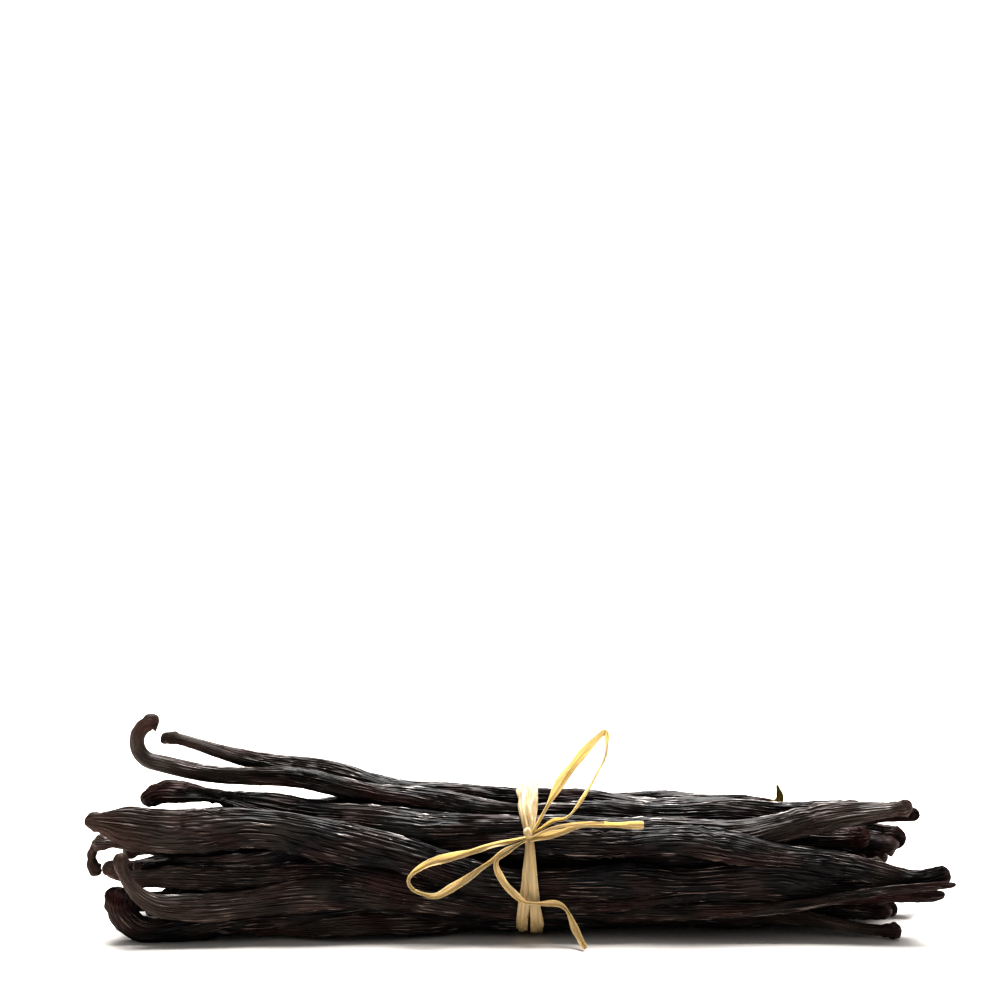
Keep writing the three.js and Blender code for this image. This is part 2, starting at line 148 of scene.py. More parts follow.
# The raffia bow, from the knot outwards, by the points that each strand passes
BOW = dict(
    left_loop=(
        (1.2, -18, 22.9), (-9.5, -19, 20.4), (-18.5, -19.6, 17.8), (-22.6, -20, 15.8), (-23.7, -20, 13.8),
        (-22.2, -20, 11.8), (-18.6, -20, 10.7), (-15.4, -20, 11.9), (-6.5, -19.6, 18), (1.4, -18, 22.4)),
    upper_loop=(
        (2.4, -17, 23.4), (8, -16, 33.4), (13.2, -15, 40.4), (18.1, -14, 45), (18.3, -14.2, 40),
        (15.7, -14.8, 34.5), (12.2, -15.3, 29), (9.6, -15.7, 26.5), (6.8, -16, 26), (2.2, -17, 23)),
    right_end=((2, -17.4, 22.4), (8.4, -16.8, 23.8), (14, -16.2, 25.2), (26.4, -15.4, 25)),
    right_strand=(
        (2.6, -17.6, 22.8), (6, -17.3, 24.5), (9.5, -17, 25.3), (14, -16.6, 25.8), (18, -16.3, 25.6)),
    lower_end=(
        (0.6, -18, 22), (-4.8, -19.8, 18.4), (-3.8, -20, 14), (-1, -20, 10.9), (1.7, -20, 9.4),
        (8.6, -19.7, 8.7), (11.8, -21.6, 3.8), (13.6, -24.4, 0.6)),
)
# For each strand, from its start to its end: flat widths, fold angles and roll angles
STRANDS = dict(
    left_loop=(
        (1.5, 1.9, 2.3, 2.6, 2.2, 1.7, 2.2, 2.6, 2.6, 1.8), (70, 55, 45, 35, 65, 60, 35, 60, 55, 65),
        (0, 15, -10, 30, 10, -30, 0, 25, -15, 0)),
    upper_loop=(
        (1.5, 2.0, 2.6, 2.9, 2.2, 1.6, 1.4, 1.4, 1.5, 1.4), (68, 62, 35, 30, 50, 66, 60, 62, 50, 60),
        (0, 20, -10, 15, 40, 75, 60, 40, 20, 0)),
    right_end=(
        (2.6, 2.7, 2.3, 1.4, 1.7, 1.8, 1.8), (60, 50, 45, 70, 40, 25, 20), (0, -10, 10, 30, -10, 5, 0)),
    right_strand=((0.9, 1.1, 1.0, 0.8), (55, 45, 60), (0, 20, 0)),
    lower_end=(
        (1.6, 1.6, 1.9, 2.2, 1.7, 1.9, 1.7, 2.1, 1.9), (70, 62, 40, 35, 60, 40, 62, 35, 40),
        (0, 40, 10, -20, 10, 25, -10, 20, 0)),
)
BOW_STEPS, BOW_PLEAT = 30, 0.05

# A strip of raffia: its grid, its thickness, how narrow its ends are, and over what share of its length
RIBBON_GRID = (240, 32)
RIBBON_THICKNESS = 0.2
RIBBON_ENDS = (0.7, 0.01)
PLEAT_SPACING, FINE_PLEAT_SPACING = 0.9, 0.42
MOST_FOLD = 84
# How a strip strays, and over what length: its width by a share, its fold and roll by degrees, and its pleats
WIDTH_STRAYS, FOLD_STRAYS, ROLL_STRAYS, PLEAT_STRAYS = (0.05, 11), (7, 11), (9, 10), (1.2, 14)

# The bands round the waist: half the way between them and their width, each at the knot and with what it
# gains over and under the knot, and where those stretches start and stop, in degrees from the knot
BAND_APART, BAND_WIDTH = (0.25, 0.6, 1.4), (1.6, 1.9, 1.3)
BAND_OVER, BAND_UNDER = ((-12, 30), (110, 170)), ((110, 180), (0, 75))
BAND_SHIFT = 0.3
BAND_FOLDS = (50, 25, 22, 15, 20, 15, 30)
BAND_PLEAT = 0.08
WRAP_GAP, WRAP_STEP = 0.3, 0.3

# The knot: its place on the oval, the way its strips are wound along, and for each strip where it starts, how
# many turns it makes, its radius and how far a turn moves it on
KNOT_ANGLE, KNOT_OUT = 30.0, 1.1
KNOT_SLOPE = (0.85, -0.1, 0.55)
KNOT_STRIPS = dict(raffia_knot=(0.1, 1.35, 1.0, 0.8), raffia_knot_core=(0.0, 1.1, 0.6, 2.2))
KNOT_WIDTHS, KNOT_FOLDS, KNOT_PLEAT = (1.1, 1.6, 1.5, 1.0), (30, 20, 25), 0.06
NO_ROLL = (0, 0)

# The camera, at the photograph's place: 0.22 mm a pixel at the bundle, seen from 11.6 degrees above
CAMERA_PLACE = (-4.29, -511.5, 120.6)
CAMERA_PITCH = 3.0
CAMERA_LENS = 85.0

# The stage: the floor's half width in metres, the overhead light, the wall behind and the soft lamp
FLOOR_HALF = 4.0
LIGHT_TURN = (-13, 6, 0)
LIGHT_COLOUR = (1, 0.98, 0.96)
WALL_EDGE, WALL_STRENGTH = (0.2, 0.9), 1.05
SOFT_LAMP_AT, SOFT_LAMP_EDGE = (0.0, 0.57, 0.82), (0.9, 0.97)


def linear(hex_colour):
    """The linear colour of an sRGB hex value such as #1a1210."""
    s = np.array([int(hex_colour[i:i + 2], 16) for i in (1, 3, 5)]) / 255
    return tuple(np.where(s <= 0.04045, s / 12.92, ((s + 0.055) / 1.055) ** 2.4))


def smooth(start, stop, x):
    """0 at start and 1 at stop, held outside them, and joined by the curve 3t^2 - 2t^3."""
    t = np.clip((x - start) / (stop - start), 0, 1)
    return t * t * (3 - 2 * t)


def bell(distance, reach):
    """The bell curve exp(-(distance / reach)^2), which is 1 at no distance."""
    return np.exp(-(distance / reach) ** 2)


def round_end(distance, radius):
    """A quarter circle: 0 at the end of a piece, and 1 from one radius on."""
    return np.sqrt(1 - (1 - np.minimum(distance / radius, 1)) ** 2)


def unit(vectors):
    """Vectors along the last axis divided by their length."""
    return vectors / np.linalg.norm(vectors, axis=-1, keepdims=True)


def ripple(angle, along, rng, turns, wavelength, terms=8):
    """A sum of sine waves over a surface, about -1 to 1.

    Each wave is sin(n * angle + k * along + phase), with a random whole n of at most turns either way, so
    that it closes round the piece, and a random k near one wave for each wavelength.
    """
    total = 0
    for _ in range(terms):
        n = rng.integers(-turns, turns + 1)
        k = TURN / wavelength * rng.uniform(0.4, 1.6)
        total = total + np.sin(n * angle + k * along + rng.uniform(0, TURN))
    return total / np.sqrt(terms)


def on_oval(degrees, half_depth, half_height):
    """Points of the waist's section: an oval, flatter below, with 0 degrees in front and 90 on top.

    Across it goes -half_depth * bent(cos), and up it goes half_height * bent(sin). bent keeps the sign and,
    below the middle, raises the size to a power under one, which squares the lower corners.
    """
    angle = np.radians(degrees)
    c, s = np.cos(angle), np.sin(angle)
    power = np.where(s < 0, FLAT_POWER, 1.0)
    across = -half_depth * np.sign(c) * np.abs(c) ** power
    up = WAIST_Z + half_height * np.sign(s) * np.abs(s) ** power
    return np.stack([np.full_like(across, TIE_X), across, up], -1)


def slot_of(ring, index):
    """A pod's centre at the waist, and the direction along the oval that its flat side follows."""
    count, half_depth, half_height, first = RINGS[ring]
    degrees = first - 360 * index / count + np.array([-8, 0, 8])
    before, centre, after = on_oval(degrees, half_depth, half_height)
    return centre, unit(after - before)


def side_line(start, end, lean, bow, wave, phase, steps=160):
    """Half of a pod's middle line, from the waist to an end.

    With s from 0 to 1, x goes evenly, and y and z go by (1 + c) s^2 / (s + c), so the pod leaves the tie
    level and then runs straight. lean and bow push its middle by sin^2(pi s), and a slow sine wave grows
    towards the end.
    """
    s = np.linspace(0, 1, steps + 1)
    away = (1 + LEAVE) * s * s / (s + LEAVE)
    run = abs(end[0] - start[0]) * s
    wave = wave * smooth(*WAVE_STARTS, run)
    turn = TURN * run / WAVE_LENGTH + phase
    middle = np.sin(np.pi * s) ** 2
    return np.stack([
        start[0] + (end[0] - start[0]) * s,
        start[1] + (end[1] - start[1]) * away + lean * middle + wave * np.sin(turn),
        start[2] + (end[2] - start[2]) * away + bow * middle + wave * np.sin(1.3 * turn),
    ], -1)


def hook_on(line, radius, turn, straight=0, steps=60):
    """A line carried on by an arc that turns up by some degrees, or down if negative, and a straight end."""
    ahead = unit(line[-1] - line[-2])
    side = np.array([0, 0, np.sign(turn)])
    side = unit(side - ahead * (side @ ahead))
    a = np.radians(abs(turn)) * np.linspace(0, 1, steps + 1)[1:, None]
    arc = line[-1] + radius * (np.sin(a) * ahead + (1 - np.cos(a)) * side)
    tail = arc[-1] + straight * np.linspace(0, 1, steps + 1)[1:, None] * unit(arc[-1] - arc[-2])
    return np.vstack([line, arc, tail] if straight else [line, arc])


def resampled(line, rings, crowding):
    """The line's points at lengths L (t - c sin(2 pi t) / 2 pi) for even t, crowded at both ends."""
    reach = np.r_[0, np.cumsum(np.linalg.norm(np.diff(line, axis=0), axis=1))]
    t = np.linspace(0, 1, rings)
    along = reach[-1] * (t - crowding * np.sin(TURN * t) / TURN)
    return np.stack([np.interp(along, reach, line[:, i]) for i in range(3)], -1), along, reach


def carried(points, wide, start):
    """Across a path, its wide and thin directions, carried both ways from one ring without twist."""
    ahead = unit(np.gradient(points, axis=0))
    across = np.zeros_like(points)
    across[start] = unit(wide - ahead[start] * (wide @ ahead[start]))
    for step, stop in ((1, len(points)), (-1, -1)):
        for i in range(start + step, stop, step):
            last = across[i - step]
            across[i] = unit(last - ahead[i] * (last @ ahead[i]))
    return across, np.cross(ahead, across)


def tube_faces(rings, around):
    """Quads between rings whose last column meets the first, and a fan to a pole at each end, facing out."""
    i = np.arange(rings - 1)[:, None] * around
    j = np.arange(around)
    k = (j + 1) % around
    quads = np.stack([i + j, i + k, i + around + k, i + around + j], -1).reshape(-1, 4)
    last = (rings - 1) * around
    first_pole = rings * around
    fans = np.vstack([
        np.stack([k, j, np.full(around, first_pole)], -1),
        np.stack([last + j, last + k, np.full(around, first_pole + 1)], -1),
    ])
    return quads.tolist() + fans.tolist()


def put_mesh(name, grid, material, numbers=None, vectors=None):
    """A closed tube from a grid of rings by columns by xyz in millimetres, with values kept at its points."""
    rings, around, _ = grid.shape
    with_poles = lambda a: np.concatenate([a.reshape(rings * around, -1), a[0].mean(0).reshape(1, -1),
                                           a[-1].mean(0).reshape(1, -1)])
    points = with_poles(grid)
    points[:, 1] += BUNDLE_Y
    mesh = bpy.data.meshes.new(name)
    mesh.from_pydata((points * MM).tolist(), [], tube_faces(rings, around))
    for key, values in (numbers or {}).items():
        layer = mesh.attributes.new(key, "FLOAT", "POINT")
        layer.data.foreach_set("value", with_poles(values[..., None]).ravel().astype(np.float32))
    for key, values in (vectors or {}).items():
        layer = mesh.attributes.new(key, "FLOAT_VECTOR", "POINT")
        layer.data.foreach_set("vector", with_poles(values).ravel().astype(np.float32))
    mesh.polygons.foreach_set("use_smooth", np.ones(len(mesh.polygons), bool))
    mesh.materials.append(material)
    mesh.update()
    piece = bpy.data.objects.new(name, mesh)
    bpy.context.scene.collection.objects.link(piece)
    return piece


def keep(piece, node):
    """Says to the frame that the piece rides on the one body, and hides the node that it stands for."""
    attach(piece, "root")
    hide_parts(node)


def pod_middle(pod, centre, phase):
    """A pod's middle line, from its left to its right end, and how many of its points are left of the tie."""
    sides = []
    for which, end in enumerate(("left", "right")):
        lean, bow = pod.get("lean", (0, 0))[which], pod.get("bow", (0, 0))[which]
        side = side_line(centre, pod[end], lean, bow, pod.get("wave", WAVE_SIZE), phase + which)
        if "hook_" + end in pod:
            side = hook_on(side, *pod["hook_" + end])
        sides.append(side)
    return np.vstack([sides[0][::-1], sides[1][1:]]), len(sides[0]) - 1


def pod_girth(pod, from_stem, from_tip, along, tie_at, phase):
    """Along a pod: half its width and thickness, and how far its body has grown and its ends have opened.

    The width and thickness grow from the stem to the body, taper to the tip and close in a round cap.
    """
    share = pod.get("tip", TIP_SHARE)
    taper = round_end(from_tip, TIP_ROUNDS)
    taper = taper * (share + (1 - share) * smooth(0, pod.get("tapers", TIP_TAPERS), from_tip))
    swell = 1 + SWELL_SHARE * np.sin(TURN * along / SWELL_LENGTH + phase)
    for place, much, reach in pod.get("pinches", ()):
        swell = swell * (1 - much * bell(along - place * along[-1], reach))
    knob = pod.get("knob", KNOB) * bell(from_stem - KNOB_AT, KNOB_LENGTH)
    cap = round_end(from_stem, STEM_ROUNDS)
    grown = smooth(*pod.get("swells", STEM_SWELLS), from_stem)
    stem = pod.get("stem_radius", STEM_RADIUS)
    squeeze = 1 - SQUEEZE_SHARE * bell(along - tie_at, SQUEEZE_REACH)
    full = np.array(pod.get("size", POD_SIZE))[:, None]
    half_width, half_thickness = ((stem + (full / 2 - stem) * grown) * taper * swell + knob) * cap
    return half_width * squeeze, half_thickness, grown, taper * cap


def pod_grid(pod, index, look, size):
    """The surface of one pod, and for each point its height on a wrinkle, its colours and its place on it.

    A flattened rod: at length a along the middle line and angle f round it, the point is the line's point
    plus (w cos f, t sin f) across it, plus a height along the section's normal. The section turns by the
    pod's twist towards each end. The height adds broad hollows, two sets of lengthwise ridges
    |sin(n f + warp)|, and crumples across the pod at its creases.
    """
    rng = np.random.default_rng(POD_SEED + index)
    phase = TURN * ((index * GOLDEN) % 1)
    rings, around = size
    centre, wide = slot_of(*pod["at"])
    line, tie_point = pod_middle(pod, centre, phase)
    points, along, reach = resampled(line, rings, END_CROWDING)
    from_tie = along - reach[tie_point]
    across, thin = carried(points, wide, int(np.argmin(np.abs(from_tie))))
    usual = (rng.uniform(-MOST_TWIST, MOST_TWIST), rng.uniform(-MOST_TWIST, MOST_TWIST))
    twist = np.radians(np.where(from_tie < 0, *pod.get("twist", usual)))
    twist = twist * smooth(0, TWIST_REACH, np.abs(from_tie))
    c, s = np.cos(twist)[:, None], np.sin(twist)[:, None]
    across, thin = c * across + s * thin, c * thin - s * across

    length = along[-1]
    from_stem = length - along if pod.get("stem") else along
    from_tip = length - from_stem
    from_end = np.minimum(from_stem, from_tip)[:, None]
    w, t, grown, opened = pod_girth(pod, from_stem, from_tip, along, reach[tie_point], phase)
    w, t = w[:, None], t[:, None]

    f = (np.arange(around) / around * TURN)[None]
    a = along[:, None]
    wander = 0.9 * ripple(f, a, rng, *WANDER) + 0.35 * ripple(f, a, rng, *FINE_WANDER)
    folds = np.abs(np.sin(FOLDS / 2 * f + wander))
    ridges = np.abs(np.sin(RIDGES / 2 * f - 0.9 * wander + 0.7 * ripple(f, a, rng, *RIDGE_WANDER)))
    ridges = 2 * MEAN_SINE - ridges
    depth = 0.5 + 0.5 * np.tanh(1.6 * ripple(f, a, rng, *FADING))
    broken = 0.5 + 0.5 * np.tanh(1.8 * ripple(f, a, rng, *BREAKING))
    facets = np.cos(3 * f + 2.2 * ripple(0, a, rng, *FACET_WANDER))
    facets = facets + 0.7 * np.cos(5 * f + 2.6 * ripple(0, a, rng, *FINE_FACET_WANDER))
    height = look.fold_depth / MM * (0.25 + 0.75 * depth) * (folds - MEAN_SINE)
    height = height + look.ridge_depth / MM * (0.3 + 0.7 * broken) * (ridges - MEAN_SINE)
    height = height + look.hollow_depth / MM * (0.6 * facets + 0.7 * ripple(f, a, rng, *HOLLOWS))
    for place in pod.get("creases", ()):
        near = a - place * length - CREASE_SWING * np.sin(f + phase)
        height = height - CREASE_DEPTH * bell(near, CREASE_HALF) * (0.6 + 0.4 * np.sin(2 * f + phase))
        height = height + CRUMPLE_HEIGHT * ripple(f, a, rng, *CRUMPLES) * bell(near, CRUMPLE_REACH)
    height = height * smooth(0, 1, (grown * opened)[:, None] * 1.6)
    lumps = LUMP_HEIGHT * ripple(f, a, rng, *LUMPS) + LUMP_RIDGES * (ridges - MEAN_SINE)
    height = height + bell(from_end, LUMP_REACH) * lumps * opened[:, None]

    normal = unit(np.stack([np.cos(f) / np.maximum(w, 0.05), np.sin(f) / np.maximum(t, 0.05)], -1))
    flat = np.stack([w * np.cos(f), t * np.sin(f)], -1) + normal * height[..., None]
    grid = points[:, None] + flat[..., :1] * across[:, None] + flat[..., 1:] * thin[:, None]
    grid[..., 2] = np.maximum(grid[..., 2], POD_FLOOR)

    # crest is the height on the wrinkles; in the skin's colour it paints highlight on the crests and shade in
    # the valleys
    crest = 0.5 * folds * (0.4 + 0.6 * depth) + 0.5 * ridges * (0.4 + 0.6 * broken)
    red = 0.2 * rng.uniform() + 0.55 * bell(from_end, RED_REACH) + 0.3 * ripple(f, a, rng, *RED_PATCHES)
    dry = bell(from_stem, DRY_REACH)[:, None] + pod.get("dry", 0) + 0.2 * ripple(f, a, rng, *DRY_PATCHES)
    olive = pod.get("olive", 0) * smooth(*OLIVE_FADES, from_tip)[:, None] + 0 * f
    radius = sum(pod.get("size", POD_SIZE)) / 4 + 0 * a
    skin = np.stack([radius * np.cos(f), radius * np.sin(f), a + 0 * f + SKINS_APART * index], -1)
    numbers = dict(crest=crest, red=np.clip(red, 0, 1), dry=np.clip(dry, 0, 1), olive=olive)
    return grid, numbers, dict(skin=skin)


def inner_pods():
    """The pods of the inner rings with no row above: spread from their places at the waist, and staggered."""
    taken = [pod["at"] for pod in SHOWN]
    pods = []
    for ring, (count, *_) in enumerate(RINGS):
        for index in range(count):
            if ring == 0 or (ring, index) in taken:
                continue
            (_, y, z), _ = slot_of(ring, index)
            stagger = INNER["stagger"] * ((index * GOLDEN + ring * INNER["ring_shift"]) % 1)
            right_x = INNER["right_x"] + INNER["stagger"] - stagger
            pods.append(dict(
                at=(ring, index),
                left=(INNER["left_x"] - stagger, y * INNER["left_spread"], z * INNER["left_drop"]),
                right=(right_x, y * INNER["right_spread"], z * INNER["right_drop"]),
                stem=index % 3 == 2,
            ))
    return pods


def curve_through(points, steps):
    """A smooth line through points, by the Catmull-Rom cubic of each stretch's ends and their neighbours."""
    p = np.array(points, float)
    p = np.vstack([2 * p[0] - p[1], p, 2 * p[-1] - p[-2]])
    t = np.linspace(0, 1, steps)[:, None]
    stretches = []
    for a, b, c, d in zip(p[:-3], p[1:-2], p[2:-1], p[3:]):
        stretches.append(0.5 * (2 * b + (c - a) * t + (2 * a - 5 * b + 4 * c - d) * t ** 2
                                + (3 * b - a - 3 * c + d) * t ** 3)[:-1])
    return np.vstack(stretches + [p[-2:-1]])


def ribbon_grid(points, facing, widths, folds, rolls, seed, pleat):
    """A strip of raffia along a line: a flat strip folded lengthwise, with fibres standing out of it.

    At length s and angle q round the section, c = w/2 cos q goes across the flat strip. A fold angle b(s)
    along its middle makes it a gutter: x = c cos b, height = |c| sin b. To that come the strip's own
    thickness and pleats cos(2 pi c / spacing + drift). The section then turns by roll(s) about the line.
    """
    rng = np.random.default_rng(seed)
    rings, around = RIBBON_GRID
    points, along, _ = resampled(points, rings, 0.0)
    across, out = carried(points, facing, 0)
    s, q = along[:, None], (np.arange(around) / around * TURN)[None]
    share = along / along[-1]
    spread = lambda values: np.interp(share, np.linspace(0, 1, len(values)), values)
    stray = lambda size, wavelength: size * ripple(0, along, rng, 0, wavelength)
    width = spread(widths) * (1 + stray(*WIDTH_STRAYS))
    end_width, end_share = RIBBON_ENDS
    width = width * (end_width + (1 - end_width) * smooth(0, end_share, np.minimum(share, 1 - share)))
    width = width[:, None]
    c = width / 2 * np.cos(q)
    drift = stray(*PLEAT_STRAYS)[:, None]
    fold = np.radians(np.clip(spread(folds) + stray(*FOLD_STRAYS), 0, MOST_FOLD))[:, None]
    off_middle = 0.12 * width * np.sin(drift)
    x = c * np.cos(fold)
    height = np.abs(c - off_middle) * np.sin(fold) - 0.25 * width * np.sin(fold)
    height = height + RIBBON_THICKNESS / 2 * np.sign(np.sin(q)) * np.abs(np.sin(q)) ** 0.5
    fibres = np.cos(TURN * c / PLEAT_SPACING + drift)
    fibres = fibres + 0.6 * np.cos(TURN * c / FINE_PLEAT_SPACING - 2 * drift)
    height = height + pleat * fibres
    angle = np.radians(spread(rolls) + stray(*ROLL_STRAYS))[:, None]
    u = x * np.cos(angle) - height * np.sin(angle)
    v = x * np.sin(angle) + height * np.cos(angle)
    grid = points[:, None] + u[..., None] * across[:, None] + v[..., None] * out[:, None]
    grid[..., 2] = np.maximum(grid[..., 2], RIBBON_FLOOR)
    # Painted shade: a mask that rises in the hollows of the pleats and where the strip is folded deep, where
    # shade falls
    valley = np.clip(0.5 - 0.35 * fibres + 0.3 * np.sin(fold) - 0.3, 0, 1)
    fibre = np.stack([c, height, s + 0 * q + FIBRES_APART * seed], -1)
    return grid, dict(valley=valley), dict(fibre=fibre)


def material(name):
    """A new material, its node tree, its Principled BSDF, and a function that adds a node with its links."""
    made = bpy.data.materials.new(name)
    made.use_nodes = True
    tree = made.node_tree
    shader = tree.nodes["Principled BSDF"]

    def add(kind, settings=None, **inputs):
        node = tree.nodes.new(kind)
        for key, value in (settings or {}).items():
            setattr(node, key, value)
        for key, value in inputs.items():
            socket = node.inputs[int(key[1:]) if key[1:].isdigit() else key.replace("_", " ")]
            if isinstance(value, bpy.types.NodeSocket):
                tree.links.new(value, socket)
            else:
                socket.default_value = value
        return node

    return made, tree, shader, add


def cured_pod_skin(look):
    """Cured vanilla pod: a dark, oily, leathery skin, shrunk into fine lengthwise wrinkles.

    The oil gives it an IOR of about 1.46 and a broken satin shine on the crests of the wrinkles. Its colour
    carries painted light: the crests are painted lighter as painted highlight, and the valleys near black as
    painted shade. The ends and some patches are red brown, the stems dry and grey brown, most on the crests
    as painted highlight, and one tip is olive.
    """
    made, tree, shader, add = material("cured_pod_skin")
    skin = add("ShaderNodeAttribute", dict(attribute_name="skin")).outputs["Vector"]
    crest = add("ShaderNodeAttribute", dict(attribute_name="crest")).outputs["Fac"]
    red = add("ShaderNodeAttribute", dict(attribute_name="red")).outputs["Fac"]
    dry = add("ShaderNodeAttribute", dict(attribute_name="dry")).outputs["Fac"]
    olive = add("ShaderNodeAttribute", dict(attribute_name="olive")).outputs["Fac"]
    # sharp wrinkles, 0.5 mm apart and about 12 mm long
    crease_place = add("ShaderNodeMapping", Vector=skin, Scale=(1.9, 1.9, 0.08))
    crease = add("ShaderNodeTexNoise", dict(noise_type="RIDGED_MULTIFRACTAL", normalize=True),
                 Vector=crease_place.outputs[0], Scale=1.0, Detail=2.0, Roughness=0.5)
    # fine grain, 0.25 mm apart
    fine_place = add("ShaderNodeMapping", Vector=skin, Scale=(4.0, 4.0, 0.5))
    fine = add("ShaderNodeTexNoise", Vector=fine_place.outputs[0], Scale=1.0, Detail=2.0, Roughness=0.6)
    # patches of 5 mm by 30 mm
    patch_place = add("ShaderNodeMapping", Vector=skin, Scale=(0.2, 0.2, 0.035))
    patch = add("ShaderNodeTexNoise", Vector=patch_place.outputs[0], Scale=1.0, Detail=2.0)
    lift = add("ShaderNodeMath", dict(operation="MULTIPLY_ADD"), _0=crease.outputs["Fac"], _1=1.0, _2=-0.5)
    lifted = add("ShaderNodeMath", dict(operation="ADD", use_clamp=True), _0=crest, _1=lift.outputs[0])
    # Painted light: the wrinkles' crest share paints the crests lighter brown grey as painted highlight and
    # the valleys near black as painted shade, over the dark brown skin; it also sets the roughness and the
    # shine.
    top = add("ShaderNodeMapRange", dict(interpolation_type="SMOOTHSTEP"),
              _0=lifted.outputs[0], _1=0.2, _2=0.62)
    brown = add("ShaderNodeMix", dict(data_type="RGBA"), _0=top.outputs[0],
                _6=(*look.valley_colour, 1), _7=(*look.crest_colour, 1))
    redness = add("ShaderNodeMath", dict(operation="MULTIPLY", use_clamp=True),
                  _0=red, _1=patch.outputs["Fac"])
    warm = add("ShaderNodeMix", dict(data_type="RGBA"), _0=redness.outputs[0],
               _6=brown.outputs[2], _7=(*look.red_colour, 1))
    # The dry grey brown shows most on the crests: dry stems, with painted highlight on their crests.
    dry_on_lit_crests = add("ShaderNodeMath", dict(operation="MULTIPLY_ADD"), _0=lifted.outputs[0], _1=0.5, _2=0.2)
    dryness = add("ShaderNodeMath", dict(operation="MULTIPLY", use_clamp=True), _0=dry, _1=dry_on_lit_crests.outputs[0])
    dried = add("ShaderNodeMix", dict(data_type="RGBA"), _0=dryness.outputs[0],
                _6=warm.outputs[2], _7=(*look.dry_colour, 1))
    colour = add("ShaderNodeMix", dict(data_type="RGBA"), _0=olive,
                 _6=dried.outputs[2], _7=(*look.olive_colour, 1))
    tree.links.new(colour.outputs[2], shader.inputs["Base Color"])
    rough = add("ShaderNodeMapRange", _0=top.outputs[0], _3=0.5, _4=0.27)
    tree.links.new(rough.outputs[0], shader.inputs["Roughness"])
    gleam = add("ShaderNodeMapRange", _0=top.outputs[0], _3=0.25, _4=1.3)
    tree.links.new(gleam.outputs[0], shader.inputs["Specular IOR Level"])
    shader.inputs["IOR"].default_value = 1.46
    grain = add("ShaderNodeBump", Strength=0.6, Distance=0.05 * MM, Height=fine.outputs["Fac"])
    bump = add("ShaderNodeBump", Strength=1.0, Distance=0.8 * MM, Height=crease.outputs["Fac"],
               Normal=grain.outputs[0])
    tree.links.new(bump.outputs[0], shader.inputs["Normal"])
    return made


def raffia_fibre(look):
    """Raffia: dried palm leaf torn into strips, pale straw, with straight fibres and a slight waxy shine."""
    made, tree, shader, add = material("raffia_fibre")
    fibre = add("ShaderNodeAttribute", dict(attribute_name="fibre")).outputs["Vector"]
    valley = add("ShaderNodeAttribute", dict(attribute_name="valley")).outputs["Fac"]
    # fibres 0.2 mm apart, and stains of 3 mm by 10 mm
    thread_place = add("ShaderNodeMapping", Vector=fibre, Scale=(5.0, 1.0, 0.06))
    thread = add("ShaderNodeTexNoise", Vector=thread_place.outputs[0], Scale=1.0, Detail=3.0, Roughness=0.65)
    stain_place = add("ShaderNodeMapping", Vector=fibre, Scale=(0.3, 0.3, 0.1))
    stain = add("ShaderNodeTexNoise", Vector=stain_place.outputs[0], Scale=1.0, Detail=2.0)
    streak = add("ShaderNodeMapRange", _0=thread.outputs["Fac"], _1=0.3, _2=0.7)
    straw = add("ShaderNodeMix", dict(data_type="RGBA"), _0=streak.outputs[0],
                _6=(*look.straw_colour, 1), _7=(*look.pale_colour, 1))
    # Tan in the folds and pleat hollows: painted shade, made patchy by stains.
    stain_and_fold_shade = add("ShaderNodeMath", dict(operation="MULTIPLY", use_clamp=True),
                 _0=valley, _1=stain.outputs["Fac"])
    colour = add("ShaderNodeMix", dict(data_type="RGBA"), _0=stain_and_fold_shade.outputs[0],
                 _6=straw.outputs[2], _7=(*look.tan_colour, 1))
    tree.links.new(colour.outputs[2], shader.inputs["Base Color"])
    shader.inputs["Roughness"].default_value = 0.5
    shader.inputs["IOR"].default_value = 1.46
    # thin leaf lets light through
    shader.inputs["Subsurface Weight"].default_value = 0.5
    shader.inputs["Subsurface Radius"].default_value = (1.0, 0.75, 0.4)
    shader.inputs["Subsurface Scale"].default_value = 1.5 * MM
    bump = add("ShaderNodeBump", Strength=0.5, Distance=0.05 * MM, Height=thread.outputs["Fac"])
    tree.links.new(bump.outputs[0], shader.inputs["Normal"])
    return made


def painted_floor(look):
    """Matt white studio floor: an even pale surface with no shine."""
    made, _, shader, _ = material("matt_floor")
    shader.inputs["Base Color"].default_value = (*look.floor_colour, 1)
    shader.inputs["Roughness"].default_value = 0.9
    return made


def shared(maker, look):
    """The material that a maker function makes, made once."""
    names = dict(cured_pod_skin="cured_pod_skin", raffia_fibre="raffia_fibre", painted_floor="matt_floor")
    return bpy.data.materials.get(names[maker.__name__]) or maker(look)


def colour_property(name, hex_value, description):
    """A colour setting, with its default given in sRGB hex."""
    return bpy.props.FloatVectorProperty(
        name=name, description=description, subtype="COLOR", size=3, min=0, max=1, default=linear(hex_value))


def depth_property(name, millimetres, description):
    """A length setting, with its default given in millimetres."""
    return bpy.props.FloatProperty(
        name=name, description=description, default=millimetres * MM, unit="LENGTH")


class VanillaPodSettings(bpy.types.PropertyGroup):
    """Sizes and colours of the pods' skin"""

    fold_depth: depth_property("Fold depth", 0.36, "Height of the broad lengthwise folds")
    ridge_depth: depth_property("Ridge depth", 0.42, "Height of the narrow lengthwise ridges")
    hollow_depth: depth_property("Hollow depth", 0.24, "How far the skin sinks in broadly")
    # Painted shade in the valleys of the wrinkles and painted highlight on their crests, over the dark brown
    # skin
    valley_colour: colour_property("Valley", "#060405", "Colour between the wrinkles")
    crest_colour: colour_property("Crest", "#57473f", "Colour on top of the wrinkles")
    red_colour: colour_property("Red brown", "#45201a", "Colour at the ends and in patches")
    dry_colour: colour_property("Dry", "#74665b", "Colour of the dry stems")
    olive_colour: colour_property("Olive", "#8a7a3a", "Colour of a tip that stayed green")


